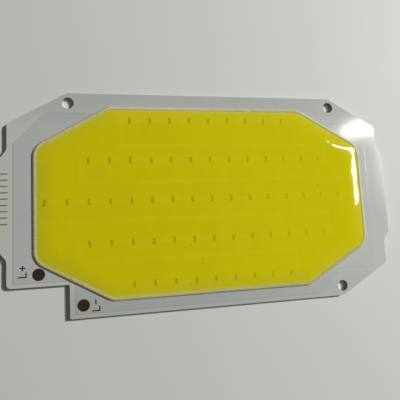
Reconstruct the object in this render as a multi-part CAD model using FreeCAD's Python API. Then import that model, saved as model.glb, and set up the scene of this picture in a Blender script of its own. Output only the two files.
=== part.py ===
"""Flat chip-on-board light module: an aluminium circuit board with a low octagonal pool of yellow phosphor
silicone, cast inside a raised bead over five rows of small flip chips.

Millimetres. The origin is the centre of the board's underside, +X runs along the board, +Y across it towards the
edge with two screw holes, and +Z points out of the lit face. Every place is worked out from the grid of chips
outwards: grid, silicone pool, bead, board edge.
"""
import FreeCAD
import Part

import math
import os

from FreeCAD import Vector

# Grid of chips
chip_pitch = 6.0
row_pitch = 12.0
chips_in_rows = (9, 13, 17, 13, 9)
chip_width = 0.6
chip_length = 1.6
chip_height = 0.15
joint_width = 0.5
joint_length = 0.5
joint_height = 0.08
joint_inset = 0.05

# Bead and silicone pool
bead_beyond_chips = 2.5
bead_beyond_rows = 3.6
bead_from_bevel = 9.87
corner_angle = 30.0
bead_width = 1.8
bead_height = 0.8
bead_crown_width = 1.44
bead_crown_height = 0.3
bead_corner_radius = 4.0
pool_height = 0.72
pool_drop = 0.14
pool_slope_width = 3.0

# Board outline
rim_at_ends = 9.5
rim_at_sides = 4.7
shoulder_depth = 2.0
corner_run = 16.3
tab_half_width = 12.8
tab_step_run = 2.6
board_corner_radius = 1.2
tab_corner_radius = 0.8
tab_root_radius = 2.0
notch_corner_radius = 0.4
hole_diameter = 3.4
hole_from_side = 3.0
hole_from_corner = 0.2

# Layers of the board
base_thickness = 1.0
dielectric_thickness = 0.1
copper_thickness = 0.07
mask_over_copper = 0.05
mask_over_gap = 0.08

# Copper pattern
row_gap = 0.3
split_gap = 0.5
split_below_row = (7.5, 6.5, 5.5, 5.0)
finger_beyond_chips = 2.2
copper_above_top_row = 2.3
copper_from_shoulder = 1.7
copper_from_notch = 1.6
copper_from_notch_top = 1.1
copper_from_side = 1.2
copper_left_bevel = 9.0
copper_right_beyond_bead = 3.2
copper_right_bevel = 3.7
copper_foot_beyond_chips = 10.0
split_rise_run = 9.0

# Solder pads of the two leads
pad_diameter = 3.4
pad_coat_thickness = 0.03
pad_coat_clearance = 0.05
positive_pad_from_shoulder = 8.2
positive_pad_from_notch = 3.3
negative_pad_from_notch = 3.6
negative_pad_from_side = 3.5

# Levels above the underside
base_top = base_thickness
dielectric_top = base_top + dielectric_thickness
copper_top = dielectric_top + copper_thickness
mask_low = dielectric_top + mask_over_gap
mask_top = copper_top + mask_over_copper
chip_bottom = copper_top + joint_height

# Places worked out from the grid outwards
rows = len(chips_in_rows)
row_y = [row_pitch * ((rows - 1) / 2 - row) for row in range(rows)]
row_end = [chip_pitch * (count - 1) / 2 for count in chips_in_rows]
bead_half_length = max(row_end) + bead_beyond_chips
bead_half_width = row_y[0] + bead_beyond_rows
board_half_length = bead_half_length + rim_at_ends
board_half_width = bead_half_width + rim_at_sides
shoulder_x = board_half_length - shoulder_depth
corner_x = shoulder_x - corner_run
corner_slope = math.tan(math.radians(corner_angle))
corner_y = board_half_width - corner_run * corner_slope
bead_from_side = rim_at_sides * math.cos(math.radians(corner_angle))
bead_straight = corner_x - (bead_from_bevel - bead_from_side) / math.sin(math.radians(corner_angle))
bead_corner_y = bead_half_width - (bead_half_length - bead_straight) * corner_slope
hole_x = corner_x - hole_from_corner
hole_y = board_half_width - hole_from_side
positive_pad = (-shoulder_x + positive_pad_from_shoulder, -corner_y + positive_pad_from_notch)
negative_pad = (-corner_x + negative_pad_from_notch, -board_half_width + negative_pad_from_side)


def rounded_wire(corners, z=0.0):
    """A closed wire through (x, y, radius) corners, each rounded by a tangent arc. It starts on the last side."""
    count = len(corners)
    points = [Vector(x, y, z) for x, y, radius in corners]
    entries, exits, edges = [], [], []
    for i in range(count):
        back = (points[i - 1] - points[i]).normalize()
        ahead = (points[(i + 1) % count] - points[i]).normalize()
        half = back.getAngle(ahead) / 2
        reach = corners[i][2] / math.tan(half)
        entries.append(points[i] + back * reach)
        exits.append(points[i] + ahead * reach)
    for i in range(count):
        radius = corners[i][2]
        edges.append(Part.LineSegment(exits[i - 1], entries[i]).toShape())
        if radius > 0:
            back = (points[i - 1] - points[i]).normalize()
            ahead = (points[(i + 1) % count] - points[i]).normalize()
            half = back.getAngle(ahead) / 2
            centre = points[i] + (back + ahead).normalize() * (radius / math.sin(half))
            middle = centre + (points[i] - centre).normalize() * radius
            edges.append(Part.Arc(entries[i], middle, exits[i]).toShape())
    return Part.Wire(edges)


def slab(corners, low, high):
    """A flat sheet of the given outline between two levels."""
    return Part.Face(rounded_wire(corners, low)).extrude(Vector(0, 0, high - low))


def block(x, y, width, length, low, high):
    """A box centred on x, y."""
    return Part.makeBox(width, length, high - low, Vector(x - width / 2, y - length / 2, low))


def disc(x, y, diameter, low, high):
    return Part.makeCylinder(diameter / 2, high - low, Vector(x, y, low))


def board_corners():
    """The board's edge: bevelled corners, a locating tab at each end, and a square notch for the leads."""
    tab = board_half_length
    tab_root = tab_half_width + tab_step_run
    right = [
        (corner_x, -board_half_width, board_corner_radius),
        (shoulder_x, -corner_y, board_corner_radius),
        (shoulder_x, -tab_root, tab_root_radius),
        (tab, -tab_half_width, tab_corner_radius),
        (tab, tab_half_width, tab_corner_radius),
        (shoulder_x, tab_root, tab_root_radius),
        (shoulder_x, corner_y, board_corner_radius),
        (corner_x, board_half_width, board_corner_radius),
    ]
    left = [(-x, -y, radius) for x, y, radius in right[:-1]]
    notch = [
        (-corner_x, -corner_y, notch_corner_radius),
        (-corner_x, -board_half_width, notch_corner_radius),
    ]
    return right + left + notch


def screw_holes(low, high):
    places = [(-hole_x, hole_y), (hole_x, hole_y), (hole_x, -hole_y)]
    return [disc(x, y, hole_diameter, low, high) for x, y in places]


def board_sheet(low, high):
    return slab(board_corners(), low, high).cut(screw_holes(low, high))


def copper_corners():
    """The edge of the copper, both poles together."""
    left = -shoulder_x + copper_from_shoulder
    top = row_y[0] + copper_above_top_row
    right = bead_half_length + copper_right_beyond_bead
    right_top = row_y[0] - row_gap / 2
    band_end = row_end[0] + finger_beyond_chips
    foot_left = -corner_x + copper_from_notch
    foot_low = -board_half_width + copper_from_side
    foot_right = row_end[-1] + copper_foot_beyond_chips
    return [
        (left, -corner_y + copper_from_notch_top, 0),
        (foot_left, -corner_y + copper_from_notch_top, 0),
        (foot_left, foot_low, 0),
        (foot_right, foot_low, 0),
        (foot_right - right_top - foot_low, -right_top, 0),
        (right - copper_right_bevel, -right_top, 0),
        (right, -right_top + copper_right_bevel, 0),
        (right, right_top - copper_right_bevel, 0),
        (right - copper_right_bevel, right_top, 0),
        (band_end, right_top, 0),
        (band_end, top, 0),
        (left + copper_left_bevel, top, 0),
        (left, top - copper_left_bevel, 0),
    ]


def parting_line():
    """The line that parts the two poles, as (start, end, width) runs: along each row of chips, then back between
    the rows, and out to the notch past the last row."""
    runs = []
    for row in range(rows):
        end = row_end[row] + finger_beyond_chips
        left = -end
        if row + 1 < rows:
            end_below = row_end[row + 1] + finger_beyond_chips
            split = row_y[row] - split_below_row[row]
            runs.append(((left, row_y[row]), (left, split), split_gap))
            runs.append(((left, split), (end_below, split), split_gap))
            runs.append(((end_below, split), (end_below, row_y[row + 1]), split_gap))
        runs.append(((end, row_y[row]), (left, row_y[row]), row_gap))
    last = (-row_end[-1] - finger_beyond_chips, row_y[-1])
    notch_line = -corner_y + copper_from_notch_top - split_gap / 2
    knee = (last[0] - split_rise_run, notch_line)
    runs.append((last, knee, split_gap))
    runs.append((knee, (-corner_x, notch_line), split_gap))
    return runs


def groove(start, end, width, low, high):
    """A straight slot between two points, lengthened by half its width at both ends."""
    a = Vector(start[0], start[1], low)
    b = Vector(end[0], end[1], low)
    along = (b - a).normalize() * (width / 2)
    across = Vector(-along.y, along.x, 0)
    corners = [a - along - across, b + along - across, b + along + across, a - along + across]
    return Part.Face(Part.makePolygon(corners + corners[:1])).extrude(Vector(0, 0, high - low))


def copper_poles(low, high):
    """The positive and the negative copper, between two levels."""
    sheet = slab(copper_corners(), low, high)
    slots = [groove(start, end, width, low, high) for start, end, width in parting_line()]
    poles = sheet.cut(slots).Solids
    middle = (low + high) / 2
    found = []
    for x, y in (positive_pad, negative_pad):
        found += [pole for pole in poles if pole.isInside(Vector(x, y, middle), 1e-4, False)]
    return found


def chip_places(row):
    first = -row_end[row]
    return [(first + chip_pitch * i, row_y[row]) for i in range(chips_in_rows[row])]


def chips(row, low=chip_bottom):
    top = chip_bottom + chip_height
    return [block(x, y, chip_width, chip_length, low, top) for x, y in chip_places(row)]


def solder_joints(row, side):
    """The joints under one end of each chip: side is 1 for the positive end and -1 for the negative one."""
    reach = chip_length / 2 - joint_inset - joint_length / 2
    return [
        block(x, y + side * reach, joint_width, joint_length, copper_top, chip_bottom)
        for x, y in chip_places(row)
    ]


def solder_mask(positive, negative, joints):
    """The white coat: it steps up over the copper, and is open at each solder joint and over each lead's pad."""
    raised = copper_poles(mask_low, mask_top)
    coat = board_sheet(dielectric_top, mask_low).fuse(raised)
    pads = [disc(x, y, pad_diameter, dielectric_top, mask_top) for x, y in (positive_pad, negative_pad)]
    return coat.cut([positive, negative] + joints + pads).removeSplitter()


def bead_corners(grow=0.0):
    """The octagon that the bead follows, grown outwards by the given distance."""
    bevel_shift = grow * math.tan(math.radians(corner_angle) / 2)
    side_shift = grow * math.tan(math.radians(90 - corner_angle) / 2)
    half_length = bead_half_length + grow
    half_width = bead_half_width + grow
    straight = bead_straight + bevel_shift
    end = bead_corner_y + side_shift
    radius = bead_corner_radius + grow
    quarter = [(straight, half_width), (half_length, end)]
    right = [(x, -y, radius) for x, y in quarter] + [(x, y, radius) for x, y in reversed(quarter)]
    left = [(-x, -y, r) for x, y, r in right]
    return right + left


def bead_path(z):
    return rounded_wire(bead_corners(), z)


def swept(section, z):
    """A section, drawn as (distance out from the path, height) points and arcs, swept round the bead's path."""
    path = bead_path(z)
    start = path.OrderedVertexes[0].Point
    along = path.OrderedEdges[0].tangentAt(path.OrderedEdges[0].FirstParameter)
    outward = along.cross(Vector(0, 0, 1))
    edges = []
    for points in section:
        spots = [start + outward * out + Vector(0, 0, up) for out, up in points]
        if len(spots) == 3:
            edges.append(Part.Arc(*spots).toShape())
        else:
            edges.append(Part.LineSegment(*spots).toShape())
    return path.makePipeShell([Part.Wire(edges)], True, False)


def bead(mask, foot):
    """The round-topped bead of white silicone, laid on the mask."""
    half = bead_width / 2
    crown = bead_crown_width / 2
    flank = bead_height - bead_crown_height
    sunk = foot - mask_top
    section = [
        [(half, 0), (crown, flank)],
        [(crown, flank), (0, bead_height), (-crown, flank)],
        [(-crown, flank), (-half, 0)],
        [(-half, 0), (-half, sunk)],
        [(-half, sunk), (half, sunk)],
        [(half, sunk), (half, 0)],
    ]
    return swept(section, mask_top).cut(mask)


def pool(solids):
    """The phosphor silicone: level over the chips and sloping down towards the bead. It doesn't creep in under the
    chips."""
    high = mask_top + pool_height
    body = slab(bead_corners(), mask_low, high)
    slope = [
        [(-pool_slope_width, 0), (-pool_slope_width / 2, -pool_drop / 4), (0, -pool_drop)],
        [(0, -pool_drop), (bead_width, -pool_drop)],
        [(bead_width, -pool_drop), (bead_width, bead_height)],
        [(bead_width, bead_height), (-pool_slope_width, bead_height)],
        [(-pool_slope_width, bead_height), (-pool_slope_width, 0)],
    ]
    return body.cut(swept(slope, high)).cut(solids)


def pad_coat(place):
    x, y = place
    return disc(x, y, pad_diameter - 2 * pad_coat_clearance, copper_top, copper_top + pad_coat_thickness)


def build():
    nodes = {}
    nodes["base_plate"] = board_sheet(0, base_top)
    nodes["dielectric_layer"] = board_sheet(base_top, dielectric_top)
    positive, negative = copper_poles(dielectric_top, copper_top)
    nodes["positive_copper"] = positive
    nodes["negative_copper"] = negative
    joints, pockets = [], []
    for row in range(rows):
        upper = solder_joints(row, 1)
        lower = solder_joints(row, -1)
        nodes[f"chip_row_{row + 1}"] = Part.Compound(chips(row))
        nodes[f"positive_joints_row_{row + 1}"] = Part.Compound(upper)
        nodes[f"negative_joints_row_{row + 1}"] = Part.Compound(lower)
        joints += upper + lower
        pockets += chips(row, mask_low)
    mask = solder_mask(positive, negative, joints)
    nodes["solder_mask"] = mask
    nodes["positive_pad_coat"] = pad_coat(positive_pad)
    nodes["negative_pad_coat"] = pad_coat(negative_pad)
    nodes["bead"] = bead(mask, mask_low)
    nodes["phosphor_pool"] = pool([mask, nodes["bead"]] + pockets)
    return nodes


os.makedirs("parts", exist_ok=True)
for name, shape in build().items():
    shape.exportStep(f"parts/{name}.step")
    print(name, len(shape.Solids), "solids", round(shape.Volume, 4), "mm3", "valid" if shape.isValid() else "NOT VALID")
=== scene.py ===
"""The light module as it lies on a pale table: an aluminium board under a printed white mask, a cast pool of
yellow phosphor silicone inside its milky bead, two dark solder pads by the notch, and small printed marks.

Sizes are in millimetres here and turned to metres by mm(). The frame is the part's own: the origin is the
centre of the board's underside, and +Z points out of the lit face.
"""

import math

import bpy
from mathutils import Matrix, Vector


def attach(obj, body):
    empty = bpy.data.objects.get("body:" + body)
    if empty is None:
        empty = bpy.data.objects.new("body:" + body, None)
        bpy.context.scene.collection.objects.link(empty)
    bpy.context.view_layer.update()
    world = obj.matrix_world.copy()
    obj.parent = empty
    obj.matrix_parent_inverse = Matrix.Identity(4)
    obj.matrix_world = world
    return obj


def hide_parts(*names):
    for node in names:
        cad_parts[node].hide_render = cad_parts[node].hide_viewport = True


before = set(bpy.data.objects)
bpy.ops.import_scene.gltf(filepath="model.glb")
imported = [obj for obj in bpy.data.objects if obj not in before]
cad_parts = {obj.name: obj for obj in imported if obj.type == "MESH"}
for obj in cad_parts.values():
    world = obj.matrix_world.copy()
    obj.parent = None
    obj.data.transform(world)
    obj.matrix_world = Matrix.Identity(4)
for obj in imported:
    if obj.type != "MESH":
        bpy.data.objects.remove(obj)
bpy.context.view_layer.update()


def mm(value):
    return value * 0.001


DIAGONAL = math.sqrt(0.5)

# Closer than this, two places count as one, and vertices are merged
CLOSE = 0.01
MERGED = 0.001

# Levels of the board, above its underside
MASK_LOW = 1.18
MASK_TOP = 1.22

# The bead's path, whose corners grow rounder with each millimetre further in, and the bead's own section
BEAD_LENGTH = 50.5
BEAD_WIDTH = 27.6
BEAD_STRAIGHT = 30.1
BEVEL_ANGLE = math.radians(30)
BEAD_RADIUS = 4.0
ROUNDER_PER_MM = 0.6
CORNER_SEGMENTS = 10
BEAD_THICKNESS = 1.8
BEAD_HEIGHT = 0.62
BEAD_SECTION_STEPS = 6
BEAD_SMOOTH_ANGLE = math.radians(40)

# The pool inside it
POOL_EDGE_HEIGHT = 0.5
POOL_HEIGHT = 0.79
POOL_SLOPE = 5.0
POOL_RINGS = 14
POOL_SMOOTH_ANGLE = math.radians(30)

# The grid of chips under the pool, and the gaps in the copper that show through it
CHIP_PITCH = 6.0
ROW_PITCH = 12.0
LONGEST_ROW_END = 48.0
ROW_ENDS = (24.0, 36.0, 48.0, 36.0, 24.0)
SPLITS = (16.5, 5.5, -5.5, -17.0)
FINGER_BEYOND_CHIPS = 2.2

# A chip's dark mark: where its soft edge ends and begins, across and along, and how far that edge wanders
MARK_ACROSS = (0.54, 0.14)
MARK_ALONG = (1.15, 0.6)
MARK_WANDER = (0.5, 0.9, 0)

# Specks of grit in the pool
GRIT_SPOTS = ((-7.2, -13.7, 0), (-3.9, -18.2, 0), (-7.9, -25.3, 0), (35.2, 3.2, 0))

# The copper's outline, both poles together: each side is given by where it faces and how far off it lies
COPPER_SIDES = (
    (-1, 0, 56.3),
    (0, 1, 26.3),
    (1, 0, 53.7),
    (0, -1, 31.1),
    (-DIAGONAL, DIAGONAL, 73.6 * DIAGONAL),
    (DIAGONAL, DIAGONAL, 73.85 * DIAGONAL),
    (DIAGONAL, -DIAGONAL, 73.85 * DIAGONAL),
)

# What is cut out of that outline: at the upper right, round the notch, and at the lower right
COPPER_CUTS = (
    ((1, 0, 26.2), (0, 1, 23.85)),
    ((-1, 0, 40.1), (0, -1, 21.79)),
    ((0, -1, 23.85), (DIAGONAL, -DIAGONAL, 65.1 * DIAGONAL)),
)

# Printed marks
PEN_WIDTH = 0.36
INK_HEIGHT = 0.012
INK_SUNK = 0.004
TICK_X = -57.9
TICK_FIRST_Y = 8.6
TICK_PITCH = 1.75
TICK_LENGTH = 1.5
TICK_COUNT = 9
RIGHT, LEFT, UP, DOWN = (1, 0), (-1, 0), (0, 1), (0, -1)

# The table, just below the board
TABLE_SIZE = 6000
TABLE_DROP = 0.02

# Where the camera stands and how it is turned, with its sensor, lens and nearest sight
CAMERA_SPOT = (-24.45, -10.75, 108.1)
CAMERA_TURN = (
    (0.98124711, 0.03144197, -0.1901723),
    (-0.05023499, 0.99422595, -0.09482197),
    (0.18609285, 0.10259709, 0.97716083),
)
CAMERA_SENSOR = 36
CAMERA_LENS = 32.38
CAMERA_NEAR = 10.0


def deselect():
    if bpy.context.object and bpy.context.object.mode != "OBJECT":
        bpy.ops.object.mode_set(mode="OBJECT")
    bpy.ops.object.select_all(action="DESELECT")


def linear(code):
    """A linear colour from an sRGB hex value."""
    parts = [int(code[i:i + 2], 16) / 255 for i in (1, 3, 5)]
    return [c / 12.92 if c <= 0.04045 else ((c + 0.055) / 1.055) ** 2.4 for c in parts] + [1.0]


def node(tree, kind, inputs=(), **settings):
    """Adds a node with its settings, and gives each socket a value, another node's output, or a whole node,
    which stands for its first output."""
    made = tree.nodes.new(kind)
    for name, value in settings.items():
        setattr(made, name, value)
    for socket, value in dict(inputs).items():
        if isinstance(value, bpy.types.Node):
            value = value.outputs[0]
        if isinstance(value, bpy.types.NodeSocket):
            tree.links.new(value, made.inputs[socket])
        else:
            made.inputs[socket].default_value = value
    return made


def new_material(name):
    material = bpy.data.materials.new(name)
    material.use_nodes = True
    material.node_tree.nodes.clear()
    return material, material.node_tree


def dress(piece, material):
    piece.data.materials.clear()
    piece.data.materials.append(material)


# Modelling helpers


def flat_octagon(name, inward, z):
    """A flat octagon, a given distance inside the bead's path. The further in, the rounder its corners."""
    deselect()
    tilt = Vector((math.sin(BEVEL_ANGLE), math.cos(BEVEL_ANGLE), 0))
    length = mm(BEAD_LENGTH - inward)
    width = mm(BEAD_WIDTH - inward)
    on_bevel = Vector((mm(BEAD_STRAIGHT), mm(BEAD_WIDTH), 0)) - tilt * mm(inward)
    bpy.ops.mesh.primitive_plane_add(size=2, location=(0, 0, mm(z)))
    piece = bpy.context.object
    piece.name = name
    piece.scale = (length, width, 1)
    bpy.ops.object.transform_apply(location=True, rotation=True, scale=True)
    bpy.ops.object.mode_set(mode="EDIT")
    for side_x in (-1, 1):
        for side_y in (-1, 1):
            bpy.ops.mesh.select_all(action="SELECT")
            place = (on_bevel.x * side_x, on_bevel.y * side_y, mm(z))
            outward = (tilt.x * side_x, tilt.y * side_y, 0)
            bpy.ops.mesh.bisect(plane_co=place, plane_no=outward, clear_outer=True)
    radius = mm(BEAD_RADIUS + ROUNDER_PER_MM * inward)
    round_corners(piece, radius, BEVEL_ANGLE, lambda spot: abs(spot.y) > width - mm(CLOSE))
    round_corners(piece, radius, math.pi / 2 - BEVEL_ANGLE, lambda spot: abs(spot.x) > length - mm(CLOSE))
    return piece


def round_corners(piece, radius, turn, picks):
    """Rounds the corners that picks() accepts, each of which turns the outline by the given angle."""
    bpy.ops.object.mode_set(mode="OBJECT")
    corners = [vertex.index for vertex in piece.data.vertices if picks(vertex.co)]
    bpy.ops.object.mode_set(mode="EDIT")
    bpy.ops.mesh.select_mode(type="VERT")
    bpy.ops.mesh.select_all(action="DESELECT")
    bpy.ops.object.mode_set(mode="OBJECT")
    for index in corners:
        piece.data.vertices[index].select = True
    bpy.ops.object.mode_set(mode="EDIT")
    cut_back = radius * math.tan(turn / 2)
    bpy.ops.mesh.bevel(offset=cut_back, segments=CORNER_SEGMENTS, profile=0.5, affect="VERTICES")
    bpy.ops.object.mode_set(mode="OBJECT")


def ring_stack(name, rings):
    """A closed octagonal form from its foot to its top, through rings given as (distance inside the bead's
    path, height)."""
    piece = flat_octagon(name, *rings[0])
    bpy.ops.object.mode_set(mode="EDIT")
    bpy.ops.mesh.select_all(action="SELECT")
    bpy.ops.object.mode_set(mode="OBJECT")
    for (_, low), (inward, high) in zip(rings, rings[1:]):
        guide = flat_octagon("guide", inward, high)
        outline = sorted((vertex.co.copy() for vertex in guide.data.vertices), key=round_the_clock)
        bpy.data.objects.remove(guide)
        bpy.context.view_layer.objects.active = piece
        piece.select_set(True)
        bpy.ops.object.mode_set(mode="EDIT")
        bpy.ops.mesh.extrude_region_move(TRANSFORM_OT_translate={"value": (0, 0, mm(high - low))})
        bpy.ops.object.mode_set(mode="OBJECT")
        ring = [vertex for vertex in piece.data.vertices if vertex.select]
        ring.sort(key=lambda vertex: round_the_clock(vertex.co))
        for vertex, place in zip(ring, outline):
            vertex.co = place
    return piece


def round_the_clock(place):
    return math.atan2(place.y, place.x)


def printed_stroke(name, spot, level, arms):
    """One stroke of ink: a square as wide as the pen, with arms pulled out of its sides as (x, y, length)."""
    deselect()
    centre = Vector((mm(spot[0]), mm(spot[1]), mm(level - INK_SUNK)))
    bpy.ops.mesh.primitive_plane_add(size=mm(PEN_WIDTH), location=centre)
    piece = bpy.context.object
    piece.name = name
    bpy.ops.object.transform_apply(location=True, rotation=True, scale=True)
    for x, y, length in arms:
        way = Vector((x, y, 0))
        bpy.ops.object.mode_set(mode="EDIT")
        bpy.ops.mesh.select_mode(type="EDGE")
        bpy.ops.mesh.select_all(action="DESELECT")
        bpy.ops.object.mode_set(mode="OBJECT")
        side = centre + way * mm(PEN_WIDTH / 2)
        for edge in piece.data.edges:
            start, end = (piece.data.vertices[index].co for index in edge.vertices)
            edge.select = ((start + end) / 2 - side).length < mm(CLOSE)
        bpy.ops.object.mode_set(mode="EDIT")
        bpy.ops.mesh.extrude_region_move(TRANSFORM_OT_translate={"value": way * mm(length)})
    bpy.ops.mesh.select_mode(type="FACE")
    bpy.ops.mesh.select_all(action="SELECT")
    bpy.ops.mesh.extrude_region_move(TRANSFORM_OT_translate={"value": (0, 0, mm(INK_HEIGHT + INK_SUNK))})
    bpy.ops.mesh.select_all(action="SELECT")
    bpy.ops.mesh.normals_make_consistent(inside=False)
    bpy.ops.object.mode_set(mode="OBJECT")
    return piece


def joined(name, pieces):
    deselect()
    for piece in pieces:
        piece.select_set(True)
    bpy.context.view_layer.objects.active = pieces[0]
    bpy.ops.object.join()
    pieces[0].name = name
    return pieces[0]


def keep(piece, material, slot, *nodes):
    """Hands a finished piece over: its material, and the part that it stands for. The slot is not used."""
    deselect()
    dress(piece, material)
    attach(piece, "root")
    if nodes:
        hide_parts(*nodes)


# Patterns, each worked out in millimetres


def places_in_mm(tree):
    place = node(tree, "ShaderNodeTexCoord").outputs["Object"]
    return node(tree, "ShaderNodeVectorMath", {0: place, 1: (1000, 1000, 1000)}, operation="MULTIPLY")


def depth_behind(tree, place, sides, pick="MINIMUM"):
    """How far a place lies behind straight sides, each given as (x, y, reach): where it faces, and how far
    from the centre it lies. MINIMUM takes the nearest side, for a convex outline, and MAXIMUM the furthest,
    for a cut-out."""
    deepest = None
    for x, y, reach in sides:
        out = node(tree, "ShaderNodeVectorMath", {0: place, 1: (x, y, 0)}, operation="DOT_PRODUCT")
        depth = node(tree, "ShaderNodeMath", {0: reach, 1: out.outputs["Value"]}, operation="SUBTRACT")
        if deepest is None:
            deepest = depth
        else:
            deepest = node(tree, "ShaderNodeMath", {0: deepest, 1: depth}, operation=pick)
    return deepest


def inside_bead(tree, place):
    """How far a place lies inside the bead's path."""
    quarter = node(tree, "ShaderNodeVectorMath", {0: place}, operation="ABSOLUTE")
    tilt_x, tilt_y = math.sin(BEVEL_ANGLE), math.cos(BEVEL_ANGLE)
    bevel_reach = BEAD_STRAIGHT * tilt_x + BEAD_WIDTH * tilt_y
    sides = [(1, 0, BEAD_LENGTH), (0, 1, BEAD_WIDTH), (tilt_x, tilt_y, bevel_reach)]
    return depth_behind(tree, quarter, sides)


def inside_copper(tree, place):
    """How far a place lies inside the edge of the copper, both poles together."""
    whole = depth_behind(tree, place, COPPER_SIDES)
    for cut in COPPER_CUTS:
        beside = depth_behind(tree, place, cut, "MAXIMUM")
        whole = node(tree, "ShaderNodeMath", {0: whole, 1: beside}, operation="MINIMUM")
    return whole


def over_chips(tree, place):
    """1 over the middle of a chip, falling to 0 round it. Rows further out have fewer chips."""
    # Ragged edges, in bites of about 1 mm
    ragged = node(tree, "ShaderNodeTexNoise", {"Vector": place, "Scale": 0.9, "Detail": 1}).outputs["Color"]
    shift = node(tree, "ShaderNodeVectorMath", {0: ragged, 1: (0.5, 0.5, 0.5)}, operation="SUBTRACT")
    shift = node(tree, "ShaderNodeVectorMath", {0: shift, 1: MARK_WANDER}, operation="MULTIPLY")
    around = node(tree, "ShaderNodeVectorMath", {0: place, 1: shift}, operation="ADD")
    parts = node(tree, "ShaderNodeSeparateXYZ", {0: around})
    off_x = node(tree, "ShaderNodeMath", {0: parts.outputs["X"], 1: CHIP_PITCH / 2}, operation="PINGPONG")
    off_y = node(tree, "ShaderNodeMath", {0: parts.outputs["Y"], 1: ROW_PITCH / 2}, operation="PINGPONG")
    narrow = node(tree, "ShaderNodeMapRange", {
        "Value": off_x, "From Min": MARK_ACROSS[0], "From Max": MARK_ACROSS[1]},
        interpolation_type="SMOOTHSTEP")
    tall = node(tree, "ShaderNodeMapRange", {
        "Value": off_y, "From Min": MARK_ALONG[0], "From Max": MARK_ALONG[1]},
        interpolation_type="SMOOTHSTEP")
    quarter = node(tree, "ShaderNodeVectorMath", {0: place}, operation="ABSOLUTE")
    in_grid = depth_behind(tree, quarter, [(1, 1, LONGEST_ROW_END + CHIP_PITCH / 2)])
    in_row = node(tree, "ShaderNodeMath", {0: in_grid, 1: 0.0}, operation="GREATER_THAN")
    mark = node(tree, "ShaderNodeMath", {0: narrow, 1: tall}, operation="MULTIPLY")
    return node(tree, "ShaderNodeMath", {0: mark, 1: in_row}, operation="MULTIPLY")


def gap_bars():
    """The gaps in the copper as (centre, half size) bars: one along each row, one between each two rows, and
    the short ones that join them."""
    bars = []
    for number, row_end in enumerate(ROW_ENDS):
        end = row_end + FINGER_BEYOND_CHIPS
        y = ROW_PITCH * (2 - number)
        bars.append(((0, y, 0), (end, 0, 0)))
        if number < len(SPLITS):
            split = SPLITS[number]
            end_below = ROW_ENDS[number + 1] + FINGER_BEYOND_CHIPS
            bars.append((((end_below - end) / 2, split, 0), ((end_below + end) / 2, 0, 0)))
            bars.append(((-end, (y + split) / 2, 0), (0, (y - split) / 2, 0)))
            bars.append(((end_below, (split + y - ROW_PITCH) / 2, 0), (0, (split - y + ROW_PITCH) / 2, 0)))
    return bars


def distance_to_gaps(tree, place):
    nearest = None
    for centre, half in gap_bars():
        off = node(tree, "ShaderNodeVectorMath", {0: place, 1: centre}, operation="SUBTRACT")
        off = node(tree, "ShaderNodeVectorMath", {0: off}, operation="ABSOLUTE")
        off = node(tree, "ShaderNodeVectorMath", {0: off, 1: half}, operation="SUBTRACT")
        parts = node(tree, "ShaderNodeSeparateXYZ", {0: off})
        off = node(tree, "ShaderNodeMath", {
            0: parts.outputs["X"], 1: parts.outputs["Y"]}, operation="MAXIMUM")
        if nearest is None:
            nearest = off
        else:
            nearest = node(tree, "ShaderNodeMath", {0: nearest, 1: off}, operation="MINIMUM")
    return nearest


def distance_to_grit(tree, place):
    flat = node(tree, "ShaderNodeVectorMath", {0: place, 1: (1, 1, 0)}, operation="MULTIPLY")
    nearest = None
    for spot in GRIT_SPOTS:
        off = node(tree, "ShaderNodeVectorMath", {0: flat, 1: spot}, operation="DISTANCE").outputs["Value"]
        if nearest is None:
            nearest = off
        else:
            nearest = node(tree, "ShaderNodeMath", {0: nearest, 1: off}, operation="MINIMUM")
    return nearest


# Materials


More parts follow.
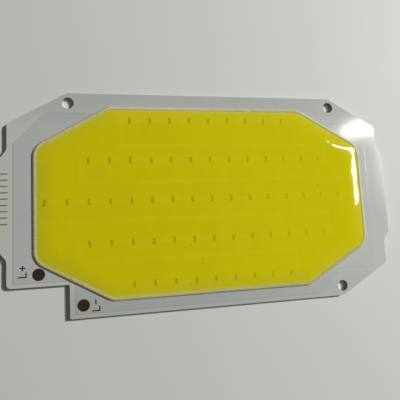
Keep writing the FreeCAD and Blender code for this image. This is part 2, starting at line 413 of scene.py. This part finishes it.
def printed_mask():
    """White solder mask, screen-printed and baked: a cool grey-white gloss with a faint orange peel, a little
    bluer over copper, with a fine painted shade line where it steps down over the copper's edge. The tint
    over copper and that line fade towards the right, and painted shade darkens the mask along the two long
    edges, most of all at the left."""
    material, tree = new_material("printed_white_solder_mask")
    place = places_in_mm(tree)
    parts = node(tree, "ShaderNodeSeparateXYZ", {0: place})
    see_through = node(tree, "ShaderNodeMapRange", {
        "Value": parts.outputs["X"], "From Min": -10.0, "From Max": 48.0, "To Min": 1.0, "To Max": 0.2})
    # Over copper the mask lies at the higher of its two levels
    raised = node(tree, "ShaderNodeMapRange", {
        "Value": parts.outputs["Z"], "From Min": MASK_TOP - 0.03, "From Max": MASK_TOP - 0.01})
    over_copper = node(tree, "ShaderNodeMath", {0: raised, 1: see_through}, operation="MULTIPLY")
    # Clouds in the print, about 11 mm across
    cloud = node(tree, "ShaderNodeTexNoise", {"Vector": place, "Scale": 0.09, "Detail": 4})
    bare = node(tree, "ShaderNodeMixRGB", {
        "Fac": cloud, "Color1": linear("#C9CDC9"), "Color2": linear("#D0D3CF")})
    backed = node(tree, "ShaderNodeMixRGB", {
        "Fac": cloud, "Color1": linear("#BCC3C0"), "Color2": linear("#C4C9C7")})
    colour = node(tree, "ShaderNodeMixRGB", {"Fac": over_copper, "Color1": bare, "Color2": backed})
    # Painted shade: a fine darker line along the copper's edge, where the mask steps down over it
    depth = inside_copper(tree, place)
    from_edge = node(tree, "ShaderNodeMath", {0: depth}, operation="ABSOLUTE")
    line = node(tree, "ShaderNodeMapRange", {
        "Value": from_edge, "From Min": 0.35, "From Max": 0.05, "To Max": 0.22},
        interpolation_type="SMOOTHSTEP")
    line = node(tree, "ShaderNodeMath", {0: line, 1: see_through}, operation="MULTIPLY")
    colour = node(tree, "ShaderNodeMixRGB", {"Fac": line, "Color1": colour, "Color2": linear("#9DA3A2")})
    # Painted shade: darker along the two long edges, less so towards the right
    off_middle = node(tree, "ShaderNodeMath", {0: parts.outputs["Y"]}, operation="ABSOLUTE")
    painted_long_edge_shade = node(tree, "ShaderNodeMapRange", {
        "Value": off_middle, "From Min": 21.0, "From Max": 29.0, "To Max": 0.36},
        interpolation_type="SMOOTHSTEP")
    towards_right = node(tree, "ShaderNodeMapRange", {
        "Value": parts.outputs["X"], "From Min": 15.0, "From Max": 50.0, "To Min": 1.0, "To Max": 0.5})
    painted_long_edge_shade = node(tree, "ShaderNodeMath", {0: painted_long_edge_shade, 1: towards_right}, operation="MULTIPLY")
    colour = node(tree, "ShaderNodeMixRGB", {"Fac": painted_long_edge_shade, "Color1": colour, "Color2": linear("#9FA5A2")})
    # The rounded shoulder over the copper's edge, and orange peel under 1 mm across
    step = node(tree, "ShaderNodeMapRange", {
        "Value": depth, "From Min": -0.14, "From Max": 0.14}, interpolation_type="SMOOTHSTEP")
    shoulder = node(tree, "ShaderNodeBump", {"Strength": 1.0, "Distance": mm(0.006), "Height": step})
    peel = node(tree, "ShaderNodeTexNoise", {"Vector": place, "Scale": 1.4, "Detail": 2})
    bump = node(tree, "ShaderNodeBump", {
        "Strength": 0.12, "Distance": mm(0.02), "Height": peel, "Normal": shoulder})
    gloss = node(tree, "ShaderNodeMapRange", {"Value": cloud, "To Min": 0.09, "To Max": 0.14})
    shader = node(tree, "ShaderNodeBsdfPrincipled", {
        "Base Color": colour, "Roughness": gloss, "IOR": 1.5, "Normal": bump})
    node(tree, "ShaderNodeOutputMaterial", {"Surface": shader})
    return material


def phosphor_silicone():
    """Phosphor in clear silicone, cast and cured: strong yellow, glossy as liquid, with each chip as a soft
    dark mark below that fades to the right under a painted sheen, a few specks of grit, and paler where it
    thins out at the bead. The thin skin shows most at the left, partly as a painted highlight of the bead's
    lit flank."""
    material, tree = new_material("cured_phosphor_silicone")
    place = places_in_mm(tree)
    along = node(tree, "ShaderNodeSeparateXYZ", {0: place}).outputs["X"]
    # Clouds in the mix, about 17 mm across
    cloud = node(tree, "ShaderNodeTexNoise", {"Vector": place, "Scale": 0.06, "Detail": 3})
    yellow = node(tree, "ShaderNodeMixRGB", {
        "Fac": cloud, "Color1": linear("#D8CF06"), "Color2": linear("#DDD305")})
    # Pale lines over the gaps in the copper
    lines = node(tree, "ShaderNodeMapRange", {
        "Value": distance_to_gaps(tree, place), "From Min": 0.8, "From Max": 0.1, "To Max": 0.12},
        interpolation_type="SMOOTHSTEP")
    yellow = node(tree, "ShaderNodeMixRGB", {"Fac": lines, "Color1": yellow, "Color2": linear("#E6DD3C")})
    # Paler towards the bead, and a thin skin where the pool laps over it
    inward = inside_bead(tree, place)
    thinner = node(tree, "ShaderNodeMapRange", {
        "Value": inward, "From Min": 5.0, "From Max": 0.5, "To Max": 0.1}, interpolation_type="SMOOTHSTEP")
    yellow = node(tree, "ShaderNodeMixRGB", {"Fac": thinner, "Color1": yellow, "Color2": linear("#C8C064")})
    skin = node(tree, "ShaderNodeMapRange", {
        "Value": inward, "From Min": 0.9, "From Max": 0.2, "To Max": 0.85}, interpolation_type="SMOOTHSTEP")
    # Painted highlight in part: the skin fades to the right, so it shows most at the left, where the bead's
    # flank is lit
    skin_highlight_fade = node(tree, "ShaderNodeMapRange", {
        "Value": along, "From Min": -10.0, "From Max": 40.0, "To Min": 1.0, "To Max": 0.85})
    skin = node(tree, "ShaderNodeMath", {0: skin, 1: skin_highlight_fade}, operation="MULTIPLY")
    yellow = node(tree, "ShaderNodeMixRGB", {"Fac": skin, "Color1": yellow, "Color2": linear("#DCD47A")})
    # Grit, and the chips, which fade to the right under a painted sheen
    specks = node(tree, "ShaderNodeMapRange", {
        "Value": distance_to_grit(tree, place), "From Min": 0.45, "From Max": 0.1, "To Max": 0.35},
        interpolation_type="SMOOTHSTEP")
    chips_under_painted_sheen = node(tree, "ShaderNodeMapRange", {
        "Value": along, "From Min": -20.0, "From Max": 40.0, "To Min": 0.54, "To Max": 0.24},
        interpolation_type="SMOOTHSTEP")
    marks = node(tree, "ShaderNodeMath", {0: over_chips(tree, place), 1: chips_under_painted_sheen}, operation="MULTIPLY")
    shade = node(tree, "ShaderNodeMath", {0: marks, 1: specks}, operation="MAXIMUM")
    colour = node(tree, "ShaderNodeMixRGB", {"Fac": shade, "Color1": yellow, "Color2": linear("#8A7F00")})
    # A surface that waves a little, about 6 mm from crest to crest
    wave = node(tree, "ShaderNodeTexNoise", {"Vector": place, "Scale": 0.16, "Detail": 1})
    bump = node(tree, "ShaderNodeBump", {"Strength": 1.0, "Distance": mm(0.12), "Height": wave})
    shader = node(tree, "ShaderNodeBsdfPrincipled", {
        "Base Color": colour, "Roughness": 0.06, "IOR": 1.41, "Normal": bump})
    node(tree, "ShaderNodeOutputMaterial", {"Surface": shader})
    return material


def milky_silicone():
    """Dispensed dam silicone, cured: milky and see-through at its skin, so the yellow beside it warms it to
    cream. It is clearer to the right, where more of what lies under it dulls it, and the paler cream kept at
    the left is partly a painted highlight of its lit flank."""
    material, tree = new_material("milky_dam_silicone")
    place = places_in_mm(tree)
    warm = node(tree, "ShaderNodeMapRange", {
        "Value": inside_bead(tree, place), "From Min": -0.3, "From Max": 0.8},
        interpolation_type="SMOOTHSTEP")
    cream = node(tree, "ShaderNodeMixRGB", {
        "Fac": warm, "Color1": linear("#D4D09C"), "Color2": linear("#DCD460")})
    # Patches about 8 mm across
    cloud = node(tree, "ShaderNodeTexNoise", {"Vector": place, "Scale": 0.12, "Detail": 3})
    patches = node(tree, "ShaderNodeMapRange", {
        "Value": cloud, "From Min": 0.3, "From Max": 0.7, "To Max": 0.25})
    cream = node(tree, "ShaderNodeMixRGB", {"Fac": patches, "Color1": cream, "Color2": linear("#CECBA0")})
    along = node(tree, "ShaderNodeSeparateXYZ", {0: place}).outputs["X"]
    # Turns grey to the right: the cream kept at the left is partly a painted highlight of the bead's lit
    # flank
    flank_highlight_fade = node(tree, "ShaderNodeMapRange", {
        "Value": along, "From Min": -15.0, "From Max": 35.0, "To Max": 0.65})
    cream = node(tree, "ShaderNodeMixRGB", {"Fac": flank_highlight_fade, "Color1": cream, "Color2": linear("#B3B390")})
    shader = node(tree, "ShaderNodeBsdfPrincipled", {
        "Base Color": cream, "Roughness": 0.7, "IOR": 1.41, "Subsurface Weight": 1.0,
        "Subsurface Radius": (1.0, 1.0, 0.9), "Subsurface Scale": mm(1.0)})
    node(tree, "ShaderNodeOutputMaterial", {"Surface": shader})
    return material


def punched_aluminium():
    """Rolled aluminium sheet, punched out: bright satin with fine rolling lines along the board."""
    material, tree = new_material("punched_aluminium_sheet")
    place = places_in_mm(tree)
    # Lines 0.4 mm apart, which is coarser than rolling leaves them, so that they show
    stretched = node(tree, "ShaderNodeMapping", {"Vector": place, "Scale": (0.04, 2.5, 0.4)})
    lines = node(tree, "ShaderNodeTexNoise", {"Vector": stretched, "Scale": 1, "Detail": 3})
    metal = node(tree, "ShaderNodeMixRGB", {
        "Fac": lines, "Color1": linear("#B9BBBD"), "Color2": linear("#CFD0D1")})
    gloss = node(tree, "ShaderNodeMapRange", {"Value": lines, "To Min": 0.28, "To Max": 0.48})
    bump = node(tree, "ShaderNodeBump", {"Strength": 0.15, "Distance": mm(0.01), "Height": lines})
    shader = node(tree, "ShaderNodeBsdfPrincipled", {
        "Base Color": metal, "Metallic": 1.0, "Roughness": gloss, "Normal": bump})
    node(tree, "ShaderNodeOutputMaterial", {"Surface": shader})
    return material


def mottled(name, dark, light, roughness, metallic, grain):
    """A plain finish with a slight mottle, whose grain is given in millimetres."""
    material, tree = new_material(name)
    cloud = node(tree, "ShaderNodeTexNoise", {
        "Vector": places_in_mm(tree), "Scale": 1 / grain, "Detail": 4})
    colour = node(tree, "ShaderNodeMixRGB", {
        "Fac": cloud, "Color1": linear(dark), "Color2": linear(light)})
    relief = node(tree, "ShaderNodeBump", {"Strength": 0.1, "Distance": mm(0.01), "Height": cloud})
    shader = node(tree, "ShaderNodeBsdfPrincipled", {
        "Base Color": colour, "Roughness": roughness, "Metallic": metallic, "Normal": relief})
    node(tree, "ShaderNodeOutputMaterial", {"Surface": shader})
    return material


mask_finish = printed_mask()
pool_finish = phosphor_silicone()
bead_finish = milky_silicone()
aluminium_finish = punched_aluminium()
# Epoxy film filled with ceramic powder: a matt grey-green edge between metal and mask
resin_finish = mottled(
    "filled_resin_film", "#A7A794", "#B5B5A3", roughness=0.6, metallic=0.0, grain=3.0)
# Etched copper foil: warm bare metal with a fine matt grain
copper_finish = mottled(
    "etched_copper_foil", "#A9643F", "#C67C52", roughness=0.35, metallic=1.0, grain=2.5)
# Solder, melted and set: bright grey metal
solder_finish = mottled(
    "reflowed_solder", "#A6A7A8", "#BEBFC0", roughness=0.3, metallic=1.0, grain=1.0)
# Sapphire chips with their dark metal underside: near black and polished
chip_finish = mottled(
    "polished_sapphire_chip", "#20222A", "#2C2E36", roughness=0.15, metallic=0.0, grain=2.0)
# The lead pads: a dark brown half gloss
pad_finish = mottled(
    "dark_brown_pad_coat", "#2C2117", "#3C2F22", roughness=0.4, metallic=0.0, grain=0.9)
# Baked legend ink: a dull green-black
ink_finish = mottled(
    "black_legend_ink", "#262824", "#343631", roughness=0.6, metallic=0.0, grain=0.4)
# The same ink printed thin over bare mask, which lets it look brown
thin_ink_finish = mottled(
    "thin_brown_legend_ink", "#7E6B50", "#938062", roughness=0.6, metallic=0.0, grain=0.4)

finishes = {
    "base_plate": aluminium_finish,
    "dielectric_layer": resin_finish,
    "positive_copper": copper_finish,
    "negative_copper": copper_finish,
    "solder_mask": mask_finish,
    "positive_pad_coat": pad_finish,
    "negative_pad_coat": pad_finish,
    "bead": bead_finish,
    "phosphor_pool": pool_finish,
}
for name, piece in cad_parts.items():
    if name.startswith("chip_row"):
        dress(piece, chip_finish)
    elif "joints" in name:
        dress(piece, solder_finish)
    else:
        dress(piece, finishes[name])

# The bead
bead = flat_octagon("dam_bead", 0.0, MASK_TOP + BEAD_HEIGHT - BEAD_THICKNESS / 2)
bpy.ops.object.mode_set(mode="EDIT")
bpy.ops.mesh.select_all(action="SELECT")
bpy.ops.mesh.delete(type="ONLY_FACE")
bpy.ops.object.mode_set(mode="OBJECT")
bpy.ops.object.convert(target="CURVE")
bead = bpy.context.object
bead.data.dimensions = "3D"
bead.data.bevel_depth = mm(BEAD_THICKNESS / 2)
bead.data.bevel_resolution = BEAD_SECTION_STEPS
bpy.ops.object.convert(target="MESH")
bead = bpy.context.object
bpy.ops.object.mode_set(mode="EDIT")
bpy.ops.mesh.select_all(action="SELECT")
bpy.ops.mesh.remove_doubles(threshold=mm(MERGED))
bpy.ops.mesh.normals_make_consistent(inside=False)
bpy.ops.mesh.bisect(plane_co=(0, 0, mm(MASK_LOW)), plane_no=(0, 0, -1), clear_outer=True, use_fill=True)
bpy.ops.object.mode_set(mode="OBJECT")
bpy.ops.object.shade_smooth_by_angle(angle=BEAD_SMOOTH_ANGLE)
keep(bead, bead_finish, "white_silicone", "bead")

# The pool: it covers the bead's inner flank, and its top rises from there in a slope that gets flatter
rings = [(0.0, MASK_LOW)]
for step in range(POOL_RINGS + 1):
    share = step / POOL_RINGS
    rise = (POOL_HEIGHT - POOL_EDGE_HEIGHT) * (1 - (1 - share) ** 2)
    rings.append((POOL_SLOPE * share, MASK_TOP + POOL_EDGE_HEIGHT + rise))
pool = ring_stack("phosphor_silicone_pool", rings)
bpy.ops.object.shade_smooth_by_angle(angle=POOL_SMOOTH_ANGLE)
keep(pool, pool_finish, "phosphor_silicone", "phosphor_pool")


def lead_mark(name, sign_spot, sign_arms, arm_length, letter_spot, stem, foot):
    """The mark of one lead pad, read from the notch side: a sign, and an L with its stem to the left."""
    sign = printed_stroke("sign", sign_spot, MASK_TOP, [(*way, arm_length) for way in sign_arms])
    letter = printed_stroke("letter", letter_spot, MASK_TOP, [(*LEFT, stem), (*UP, foot)])
    keep(joined(name, [sign, letter]), ink_finish, "white_mask")


# L+ and L-, beside the two lead pads
lead_mark(
    "positive_lead_mark", sign_spot=(-53.9, -17.6), sign_arms=(RIGHT, LEFT, UP, DOWN), arm_length=0.55,
    letter_spot=(-53.0, -20.05), stem=1.9, foot=1.1)
lead_mark(
    "negative_lead_mark", sign_spot=(-34.8, -28.1), sign_arms=(UP, DOWN), arm_length=0.5,
    letter_spot=(-33.8, -30.5), stem=1.8, foot=1.05)

# A plain row of printed ticks along the left edge
ticks = []
for number in range(TICK_COUNT):
    spot = (TICK_X, TICK_FIRST_Y - TICK_PITCH * number)
    ticks.append(printed_stroke("tick", spot, MASK_LOW, [(*LEFT, TICK_LENGTH)]))
keep(joined("printed_ticks", ticks), thin_ink_finish, "white_mask")

# The table
deselect()
bpy.ops.mesh.primitive_plane_add(size=mm(TABLE_SIZE), location=(0, 0, mm(-TABLE_DROP)))
table = bpy.context.object
table.name = "pale_table"
# Matt laminate: an even pale grey
table_finish = mottled(
    "pale_matt_laminate", "#DDDDDB", "#E0E0DE", roughness=0.7, metallic=0.0, grain=30.0)
dress(table, table_finish)

# Lights
bpy.context.scene.view_settings.view_transform = "Standard"
world = bpy.data.worlds.new("studio")
bpy.context.scene.world = world
world.use_nodes = True
background = world.node_tree.nodes["Background"]
background.inputs["Color"].default_value = linear("#F6EEDD")
background.inputs["Strength"].default_value = 0.1


def lamp(name, spot, size, turn, reach, power):
    """A rectangular lamp above the board and parallel to it. Its place and size are those of its mirror image
    in the board's face as the camera sees it, and reach says how many times further off than that image it
    stands."""
    data = bpy.data.lights.new(name, "AREA")
    data.shape = "RECTANGLE"
    data.size = mm(size[0] * reach)
    data.size_y = mm(size[1] * reach)
    data.energy = power
    data.color = linear("#FFFEFC")[:3]
    made = bpy.data.objects.new(name, data)
    bpy.context.scene.collection.objects.link(made)
    mirrored_eye = Vector((CAMERA_SPOT[0], CAMERA_SPOT[1], 2 * MASK_TOP - CAMERA_SPOT[2]))
    place = mirrored_eye + (Vector((*spot, MASK_TOP)) - mirrored_eye) * reach
    made.matrix_world = Matrix.Translation(mm(place)) @ Matrix.Rotation(math.radians(turn), 4, "Z")


lamp("main", spot=(110, 45), size=(3, 3), turn=0, reach=12.0, power=66.0)
lamp("window", spot=(60.7, 24.1), size=(28, 2.8), turn=12, reach=4.38, power=0.32)
lamp("side", spot=(67.4, 9.3), size=(10.5, 24.5), turn=10, reach=4.38, power=0.4)

# The camera, where the photograph was taken from
camera_data = bpy.data.cameras.new("camera")
camera_data.sensor_width = CAMERA_SENSOR
camera_data.lens = CAMERA_LENS
camera_data.clip_start = mm(CAMERA_NEAR)
camera = bpy.data.objects.new("camera", camera_data)
bpy.context.scene.collection.objects.link(camera)
camera.matrix_world = Matrix.Translation(mm(Vector(CAMERA_SPOT))) @ Matrix(CAMERA_TURN).to_4x4()
bpy.context.scene.camera = camera
